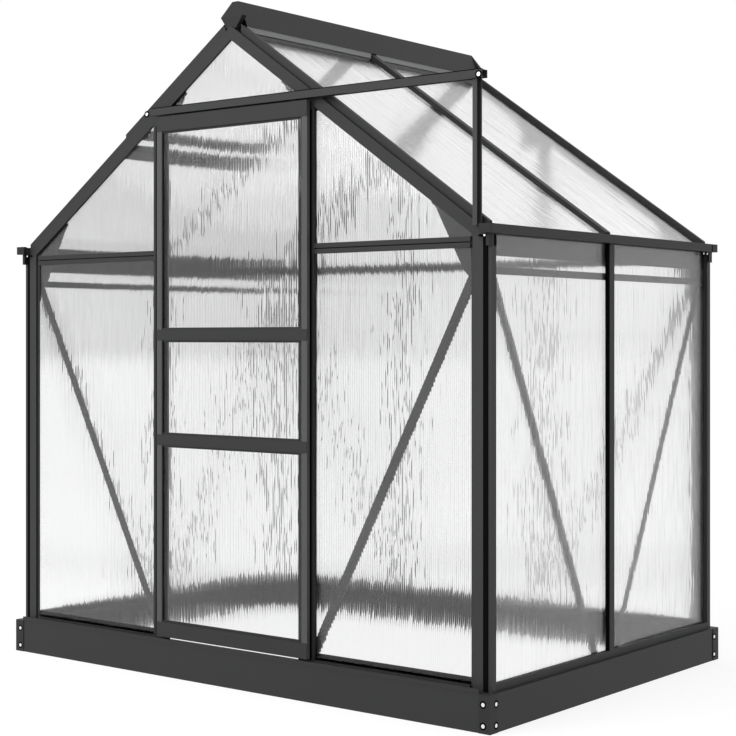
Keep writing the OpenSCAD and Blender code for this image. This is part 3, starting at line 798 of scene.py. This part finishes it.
@dataclass
class Closures:
    """Foam strips under the ridge cap, grey as painted shade under its edge, and dark folded lips over the
    gussets, painted shadow of the rafters.

    Args:
        layout: main planes; not used.
        keel_foam: x and z corner of the left strip beside the keel, low and high.
        edge_foam: x and z corner of the right strip behind the cap's edge, low and high.
        gap: how far the foam stays off the middle rafter, and back from the ridge's end pieces.
        slope: angle of the roof.
        eaves_lip: x and z of the upper end of the lips at the eaves, and their length.
        ridge_lip: x of the upper end of the lips at the door header, and their length.
        lip: reach of the lips across the slope, from the gussets' upper edge.
        lip_off: how far the lips' two faces lie off the gussets.
    """

    layout: Layout
    keel_foam: tuple[tuple[float, float], tuple[float, float]] = ((0.0172, 1.9622), (0.0214, 1.9790))
    edge_foam: tuple[tuple[float, float], tuple[float, float]] = ((0.0455, 1.9484), (0.0480, 1.9680))
    gap: tuple[float, float] = (0.0006, 0.020)
    slope: float = math.radians(35.0)
    eaves_lip: tuple[float, float, float] = (0.737, 1.4116, 0.205)
    ridge_lip: tuple[float, float] = (0.196, 0.169)
    lip: tuple[float, float] = (-0.008, 0.006)
    lip_off: tuple[float, float] = (0.0001, 0.0015)

    def build(self, shop: Workshop) -> list[bpy.types.Object]:
        """Builds the foam and the lips.

        Args:
            shop: the workshop that finishes them.

        Returns:
            The built pieces.
        """
        return [
            shop.piece("ridge_shade_foam", self._foam(), SHADE_FOAM, Body.HOUSE),
            # The dark lips paint the rafters' shadow along the gussets' upper edges.
            shop.piece("gusset_shadow_lips", self._shadow_lips(), PLATE, Body.HOUSE),
        ]

    def _foam(self) -> bmesh.types.BMesh:
        """Returns the foam strips, grey as painted shade under the ridge cap's edge, split at the middle
        rafter.
        """
        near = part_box("middle_rafters")[1][1] + self.gap[0]
        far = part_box("ridge_ends")[1][1] - self.gap[1]
        mesh = bmesh.new()
        for sx, (low, high) in ((-1, self.keel_foam), (1, self.edge_foam)):
            for sy in (-1, 1):
                mirrored_strip(mesh, sx, sy, (low[0], near, low[1]), (high[0], far, high[1]))
        return mesh

    def _shadow_lips(self) -> bmesh.types.BMesh:
        """Returns the dark lips along the upper edges of the gussets, painted shadow that the rafters cast
        there.
        """
        mesh = bmesh.new()
        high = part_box("gussets")[1]
        x, z, reach = self.eaves_lip
        uppers = ((x, z, reach), (self.ridge_lip[0], high[2], self.ridge_lip[1]))
        for sx in (-1, 1):
            turn = Matrix.Rotation(sx * self.slope, 4, "Y")
            for x, z, reach in uppers:
                place = Matrix.Translation((sx * x, 0.0, z)) @ turn
                x0, x1 = sorted((0.0, sx * reach))
                for sy in (-1, 1):
                    y0, y1 = sorted(sy * (high[1] + off) for off in self.lip_off)
                    low_corner = Vector((x0, y0, self.lip[0]))
                    high_corner = Vector((x1, y1, self.lip[1]))
                    add_strip(mesh, low_corner, high_corner, 0.4 * STRIP_EDGE, place)
        return mesh


@dataclass
class Fasteners:
    """All bolts of the fixed frame, and the black bracket under each gutter's end, which paints the shade
    there.

    Args:
        layout: main planes.
        base_in: how far the base bolts lie in from the corner, along front and side.
        base_z: heights of the base bolts.
        bracket: front bracket's low and high corner, where x and y are positive.
        bracket_bolt: middle of its bolt, likewise.
        rear_bolts: places along the gutter of the bolts near its back end.
        rear_drop: how far those bolts lie under the eaves.
        track_right: place of the track's right bolt, from its right end and its middle.
        track_left: place of its left bolt, from its left end, the gable and its top.
    """

    layout: Layout
    base_in: tuple[float, float] = (0.0222, 0.029)
    base_z: tuple[float, float] = (0.0200, 0.0764)
    bracket: tuple[tuple[float, float, float], tuple[float, float, float]] = (
        (0.8985, 0.6305, 1.3068),
        (0.9255, 0.6340, 1.3128),
    )
    bracket_bolt: tuple[float, float, float] = (0.9183, 0.6340, 1.3098)
    rear_bolts: tuple[float, float] = (0.580, 0.604)
    rear_drop: float = 0.006
    track_right: tuple[float, float] = (-0.0105, -0.002)
    track_left: tuple[float, float, float] = (-0.0435, 0.004, -0.0085)

    def build(self, shop: Workshop) -> list[bpy.types.Object]:
        """Builds the bolts of base, gutters and track.

        Args:
            shop: the workshop that finishes them.

        Returns:
            The built pieces.
        """
        sets = (
            BoltSet("base_bolts", Body.HOUSE, self._base_places()),
            BoltSet("track_bolts", Body.HOUSE, self._track_places()),
            BoltSet("gutter_bolts", Body.HOUSE, self._gutter_places(), head=0.0036, proud=0.002),
        )
        out = [piece for bolts in sets for piece in bolts.build(shop)]
        # Black bracket blocks under the gutters' ends, painted shade under the gutters.
        shade_brackets = bmesh.new()
        for sx in (-1, 1):
            for sy in (-1, 1):
                mirrored_strip(shade_brackets, sx, sy, *self.bracket)
        out.append(shop.piece("gutter_shade_brackets", shade_brackets, SHADE_RUBBER, Body.HOUSE))
        return out

    def _base_places(self) -> list[tuple[Vector, Vector]]:
        """Returns the places of the bolts round the corner plates."""
        lay = self.layout
        places = []
        for sx in (-1, 1):
            for sy in (-1, 1):
                for z in self.base_z:
                    front = Vector((sx * (lay.half_w - self.base_in[0]), sy * lay.half_d, z))
                    side = Vector((sx * lay.half_w, sy * (lay.half_d - self.base_in[1]), z))
                    places.append((front, Vector((0, sy, 0))))
                    places.append((side, Vector((sx, 0, 0))))
        return places

    def _track_places(self) -> list[tuple[Vector, Vector]]:
        """Returns the places of the track's end bolts."""
        low, high = self.layout.track
        forward = Vector((0, -1, 0))
        middle = (low[2] + high[2]) / 2
        right = Vector((high[0] + self.track_right[0], low[1], middle + self.track_right[1]))
        left = Vector((low[0], -self.layout.gable, high[2])) + Vector(self.track_left)
        return [(right, forward), (left, forward)]

    def _gutter_places(self) -> list[tuple[Vector, Vector]]:
        """Returns the places of the small bolts under the gutters."""
        places = []
        x, y, z = self.bracket_bolt
        for sx in (-1, 1):
            for sy in (-1, 1):
                places.append((Vector((sx * x, sy * y, z)), Vector((0, sy, 0))))
            for back in self.rear_bolts:
                spot = Vector((sx * self.layout.side, back, self.layout.eave_z - self.rear_drop))
                places.append((spot, Vector((sx, 0, 0))))
        return places


@dataclass
class Studio:
    """Floor, light and camera.

    Args:
        centre: point the light looks at.
        sky: strength of the light from all round, from the left and from the right.
        through: strength of the surround behind clear sheets, left and right of the middle, as painted
            shade: below 1 it darkens what shows through the sheets, for the shade inside the house.
        glow: how much of its own white the floor shows.
        power: power of the lamp in watts.
        lamp: where the lamp stands.
        lamp_size: edge of the lamp's square.
        floor_size: half the edge of the floor.
        floor_grey: brightness of the floor's own colour.
        eye: where the camera stands.
        turn: how far the camera is turned to the left, in degrees.
        lens: focal length in mm, on a 36 mm sensor.
        shift: how far the picture is shifted down.
    """

    centre: Vector
    sky: tuple[float, float] = (0.86, 0.66)
    through: tuple[float, float] = (0.68, 1.0)
    glow: float = 0.8
    power: float = 165.0
    lamp: tuple[float, float, float] = (-1.6, -5.6, 3.8)
    lamp_size: float = 4.0
    floor_size: float = 60.0
    floor_grey: float = 0.28
    eye: tuple[float, float, float] = (3.3817, -4.2397, 1.0394)
    turn: float = 38.3793
    lens: float = 80.86
    shift: float = -0.0413

    def build(self) -> None:
        """Builds floor, light, world and camera."""
        self._floor()
        self._world()
        self._light()
        self._camera()

    @staticmethod
    def _seen(net: Net) -> bpy.types.NodeSocket:
        """Returns 1 for rays of the camera, of reflections and of clear sheets.

        Args:
            net: the nodes that the mask is for.

        Returns:
            The socket of the mask.
        """
        rays = net.tree.nodes.new("ShaderNodeLightPath")
        names = ("Is Camera Ray", "Is Glossy Ray", "Is Transmission Ray")
        camera, glossy, through = (rays.outputs[name] for name in names)
        return net.math("MAXIMUM", net.math("MAXIMUM", camera, glossy), through)

    @staticmethod
    def _clear(net: Net) -> bpy.types.NodeSocket:
        """Returns 1 for rays that came through a clear sheet, and not straight from the camera.

        Args:
            net: the nodes that the mask is for.

        Returns:
            The socket of the mask.
        """
        rays = net.tree.nodes.new("ShaderNodeLightPath")
        through, camera = rays.outputs["Is Transmission Ray"], rays.outputs["Is Camera Ray"]
        return net.math("MULTIPLY", through, net.math("SUBTRACT", 1.0, camera))

    def _floor(self) -> None:
        """Builds a white floor that keeps a soft shadow."""
        mesh = bmesh.new()
        bmesh.ops.create_grid(mesh, x_segments=1, y_segments=1, size=self.floor_size)
        data = bpy.data.meshes.new("studio_floor")
        mesh.to_mesh(data)
        mesh.free()
        item = bpy.data.objects.new("studio_floor", data)
        bpy.context.scene.collection.objects.link(item)
        material = bpy.data.materials.new("pale_floor")
        material.use_nodes = True
        net = Net(material.node_tree)
        shader = net.tree.nodes["Principled BSDF"]
        shader.inputs["Base Color"].default_value = (*(self.floor_grey,) * 3, 1)
        shader.inputs["Roughness"].default_value = 1.0
        shader.inputs["Specular IOR Level"].default_value = 0.0
        shader.inputs["Emission Color"].default_value = (1, 1, 1, 1)
        glow = net.math("MULTIPLY", self._seen(net), self.glow)
        net.tree.links.new(glow, shader.inputs["Emission Strength"])
        data.materials.append(material)

    def _world(self) -> None:
        """Builds a white surround that lights more from the left than from the right; behind clear sheets
        it is painted darker towards the left, as shade inside the house.
        """
        world = bpy.data.worlds.new("studio")
        bpy.context.scene.world = world
        world.use_nodes = True
        net = Net(world.node_tree)
        back = net.tree.nodes["Background"]
        back.inputs["Color"].default_value = (1, 1, 1, 1)
        place = net.tree.nodes.new("ShaderNodeTexCoord").outputs["Generated"]
        rightward = net.split(place)[0]
        level = net.spread(rightward, (-1.0, 1.0), self.sky)
        # Painted shade: the surround seen through a clear sheet is darker towards the left, for the shade
        # inside the house.
        behind = net.spread(rightward, (-0.78, -0.48), self.through)
        seen = self._seen(net)
        shown = net.math("MULTIPLY", seen, net.choose(self._clear(net), behind, 1.0))
        lit = net.math("MULTIPLY", level, net.math("SUBTRACT", 1.0, seen))
        strength = net.math("ADD", lit, shown)
        net.tree.links.new(strength, back.inputs["Strength"])

    def _light(self) -> None:
        """Adds a soft lamp that looks at the object."""
        data = bpy.data.lights.new("key", "AREA")
        data.size = self.lamp_size
        data.energy = self.power
        lamp = bpy.data.objects.new("key", data)
        lamp.location = self.lamp
        lamp.rotation_euler = (self.centre - Vector(self.lamp)).to_track_quat("-Z", "Y").to_euler()
        bpy.context.scene.collection.objects.link(lamp)

    def _camera(self) -> None:
        """Adds the camera and makes it the scene's."""
        data = bpy.data.cameras.new("camera")
        data.sensor_width = 36.0
        data.lens = self.lens
        data.shift_y = self.shift
        eye = bpy.data.objects.new("camera", data)
        eye.location = self.eye
        eye.rotation_euler = (math.pi / 2, 0.0, math.radians(self.turn))
        bpy.context.scene.collection.objects.link(eye)
        bpy.context.scene.camera = eye


def dress_frame(library: MaterialLibrary) -> None:
    """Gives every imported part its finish.

    Args:
        library: the material library.
    """
    for name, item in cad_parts.items():
        material = library.get(NODE_FINISH.get(name, CHARCOAL))
        for slot in item.material_slots:
            slot.material = material


def main() -> None:
    """Builds everything in order."""
    logging.basicConfig(level=logging.INFO)
    library = MaterialLibrary()
    dress_frame(library)
    shop = Workshop(library)
    layout = Layout.read()
    ShadeSeals(layout).build(shop)
    Closures(layout).build(shop)
    Fasteners(layout).build(shop)
    Studio(centre=Vector((0.0, 0.0, 1.0))).build()
    bpy.context.scene.view_settings.view_transform = "Standard"


if __name__ == "__main__":
    main()
